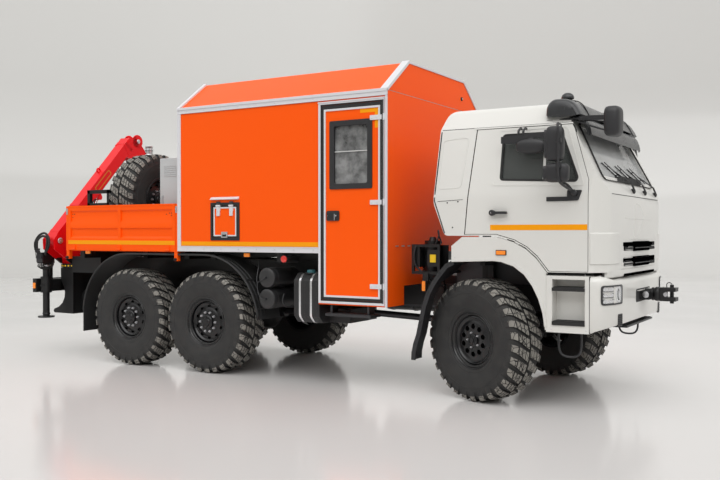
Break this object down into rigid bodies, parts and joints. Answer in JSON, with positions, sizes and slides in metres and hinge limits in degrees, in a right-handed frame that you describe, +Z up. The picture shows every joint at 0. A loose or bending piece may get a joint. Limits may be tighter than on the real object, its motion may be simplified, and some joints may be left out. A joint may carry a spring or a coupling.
{
  "type": "pipeline repair truck",
  "caption": "Six-wheel off-road truck with tilting cab, orange workshop van with side door, short drop-side bed and a folding crane at the rear.",
  "frame": {"origin": "on the ground, centred between the tow fork's tip and the rear bumper, on the vehicle's middle plane", "axes": "+X forward, +Y to the vehicle's left, +Z up"},
  "size_m": [8.63, 3, 3.655],
  "materials": {
    "black_paint": "satin",
    "cab_white": "gloss",
    "orange_paint": "gloss",
    "crane_red": "gloss",
    "glass": "clear",
    "grey_paint": "satin",
    "chrome_rod": "polished",
    "seat_fabric": "woven",
    "dark_plastic": "grained",
    "tyre_rubber": "matte",
    "rim_paint": "satin"
  },
  "bodies": {
    "chassis": {"frame": "black_paint", "front_axle": "black_paint", "middle_axle": "black_paint", "rear_axle": "black_paint", "leaf_springs": "black_paint", "engine": "black_paint", "drive_shafts": "black_paint", "side_tanks": "black_paint", "side_rack": "black_paint", "front_bumper": "cab_white", "tow_fork": "black_paint", "front_fenders": "cab_white", "rear_fenders": "black_paint", "rear_bumper": "black_paint", "bed": "orange_paint", "spare_tyre": "tyre_rubber", "spare_rim": "rim_paint", "cabinet": "grey_paint", "van_body": "orange_paint", "van_roof": "orange_paint", "crane_base": "black_paint"},
    "cab": {"cab_shell": "cab_white", "cab_glass": "glass", "roof_trim": "black_paint", "seats": "seat_fabric", "dashboard": "dark_plastic"},
    "tie_rod": {"tie_rod": "black_paint"},
    "van_door": {"van_door": "orange_paint", "van_door_glass": "glass"},
    "hatch_lid": {"hatch_lid": "orange_paint"},
    "crane_column": {"crane_column": "crane_red"},
    "main_boom": {"main_boom": "crane_red"},
    "outer_boom": {"outer_boom": "crane_red"},
    "boom_extension": {"boom_extension": "crane_red"},
    "lift_barrel": {"lift_barrel": "black_paint"},
    "lift_rod": {"lift_rod": "chrome_rod"},
    "knuckle_left": {"knuckle_left": "black_paint"},
    "cab_door_left": {"cab_door_left": "cab_white", "door_glass_left": "glass", "mirror_left": "black_paint"},
    "bed_side_left": {"bed_side_left": "orange_paint"},
    "stabiliser_leg_left": {"stabiliser_leg_left": "black_paint"},
    "wheel_front_left": {"tyre_front_left": "tyre_rubber", "rim_front_left": "rim_paint"},
    "wheel_middle_left": {"tyre_middle_left": "tyre_rubber", "rim_middle_left": "rim_paint"},
    "wheel_rear_left": {"tyre_rear_left": "tyre_rubber", "rim_rear_left": "rim_paint"},
    "knuckle_right": {"knuckle_right": "black_paint"},
    "cab_door_right": {"cab_door_right": "cab_white", "door_glass_right": "glass", "mirror_right": "black_paint"},
    "bed_side_right": {"bed_side_right": "orange_paint"},
    "stabiliser_leg_right": {"stabiliser_leg_right": "black_paint"},
    "wheel_front_right": {"tyre_front_right": "tyre_rubber", "rim_front_right": "rim_paint"},
    "wheel_middle_right": {"tyre_middle_right": "tyre_rubber", "rim_middle_right": "rim_paint"},
    "wheel_rear_right": {"tyre_rear_right": "tyre_rubber", "rim_rear_right": "rim_paint"}
  },
  "joints": [
    {"name": "steer_right", "type": "hinge", "parent": "chassis", "child": "knuckle_right", "pos_m": [2.665, -0.8, 0.63], "axis": [0, 0, 1], "range_deg": [-9.5, 50.5]},
    {"name": "steer_left", "type": "hinge", "parent": "chassis", "child": "knuckle_left", "pos_m": [2.665, 0.8, 0.63], "axis": [0, 0, 1], "range_deg": [-9.5, 50.5]},
    {"name": "tie_rod_pivot", "type": "hinge", "parent": "knuckle_right", "child": "tie_rod", "pos_m": [2.384, -0.69494, 0.56], "axis": [0, 0, 1], "range_deg": [-50.5, 9.5]},
    {"name": "spin_front_left", "type": "hinge", "parent": "knuckle_left", "child": "wheel_front_left", "pos_m": [2.7438, 1.01075, 0.63], "axis": [0.3502, 0.9367, 0], "continuous": true},
    {"name": "spin_front_right", "type": "hinge", "parent": "knuckle_right", "child": "wheel_front_right", "pos_m": [2.5862, -1.01075, 0.63], "axis": [0.3502, 0.9367, 0], "continuous": true},
    {"name": "spin_middle_left", "type": "hinge", "parent": "chassis", "child": "wheel_middle_left", "pos_m": [-1.025, 1.025, 0.63], "axis": [0, 1, 0], "continuous": true},
    {"name": "spin_middle_right", "type": "hinge", "parent": "chassis", "child": "wheel_middle_right", "pos_m": [-1.025, -1.025, 0.63], "axis": [0, 1, 0], "continuous": true},
    {"name": "spin_rear_left", "type": "hinge", "parent": "chassis", "child": "wheel_rear_left", "pos_m": [-2.345, 1.025, 0.63], "axis": [0, 1, 0], "continuous": true},
    {"name": "spin_rear_right", "type": "hinge", "parent": "chassis", "child": "wheel_rear_right", "pos_m": [-2.345, -1.025, 0.63], "axis": [0, 1, 0], "continuous": true},
    {"name": "cab_tilt", "type": "hinge", "parent": "chassis", "child": "cab", "pos_m": [3.92, 0, 1.34], "axis": [0, 1, 0], "range_deg": [0, 50]},
    {"name": "cab_door_left", "type": "hinge", "parent": "cab", "child": "cab_door_left", "pos_m": [3.745, 1.24, 1.8], "axis": [0, 0, -1], "range_deg": [0, 70]},
    {"name": "cab_door_right", "type": "hinge", "parent": "cab", "child": "cab_door_right", "pos_m": [3.745, -1.24, 1.8], "axis": [0, 0, 1], "range_deg": [0, 70]},
    {"name": "van_door", "type": "hinge", "parent": "chassis", "child": "van_door", "pos_m": [1.535, -1.262, 2], "axis": [0, 0, 1], "range_deg": [0, 110]},
    {"name": "hatch_lid", "type": "hinge", "parent": "chassis", "child": "hatch_lid", "pos_m": [-0.675, -1.262, 2.062], "axis": [-1, 0, 0], "range_deg": [0, 90]},
    {"name": "bed_side_left", "type": "hinge", "parent": "chassis", "child": "bed_side_left", "pos_m": [-2.465, 1.265, 1.515], "axis": [-1, 0, 0], "range_deg": [0, 170]},
    {"name": "bed_side_right", "type": "hinge", "parent": "chassis", "child": "bed_side_right", "pos_m": [-2.465, -1.265, 1.515], "axis": [1, 0, 0], "range_deg": [0, 170]},
    {"name": "crane_slew", "type": "hinge", "parent": "chassis", "child": "crane_column", "pos_m": [-3.955, -0.74, 1.29], "axis": [0, 0, 1], "range_deg": [0, 180]},
    {"name": "boom_lift", "type": "hinge", "parent": "crane_column", "child": "main_boom", "pos_m": [-3.955, -1.08, 1.625], "axis": [1, 0, 0], "range_deg": [-10, 28]},
    {"name": "boom_fold", "type": "hinge", "parent": "main_boom", "child": "outer_boom", "pos_m": [-3.955, 0.455, 3.165], "axis": [1, 0, 0], "range_deg": [0, 140]},
    {"name": "boom_extend", "type": "slide", "parent": "outer_boom", "child": "boom_extension", "axis": [0, 0, -1], "range_m": [0, 0.9]},
    {"name": "lift_swing", "type": "hinge", "parent": "crane_column", "child": "lift_barrel", "pos_m": [-3.955, -0.69, 1.43], "axis": [1, 0, 0], "range_deg": [-9.85, 26.69]},
    {"name": "lift_stroke", "type": "slide", "parent": "lift_barrel", "child": "lift_rod", "axis": [0, 0.4438, 0.8961], "range_m": [-0.0797, 0.2141]},
    {"name": "leg_left", "type": "slide", "parent": "chassis", "child": "stabiliser_leg_left", "axis": [0, 0, -1], "range_m": [0, 0.5]},
    {"name": "leg_right", "type": "slide", "parent": "chassis", "child": "stabiliser_leg_right", "axis": [0, 0, -1], "range_m": [0, 0.5]}
  ],
  "couplings": [
    {"joint": "steer_left", "follows": "steer_right", "ratio": 1},
    {"joint": "tie_rod_pivot", "follows": "steer_right", "ratio": -1},
    {"joint": "lift_swing", "follows": "boom_lift", "ratio": 0.9352},
    {"joint": "lift_stroke", "follows": "boom_lift", "m_per_rad": 0.42792}
  ]
}
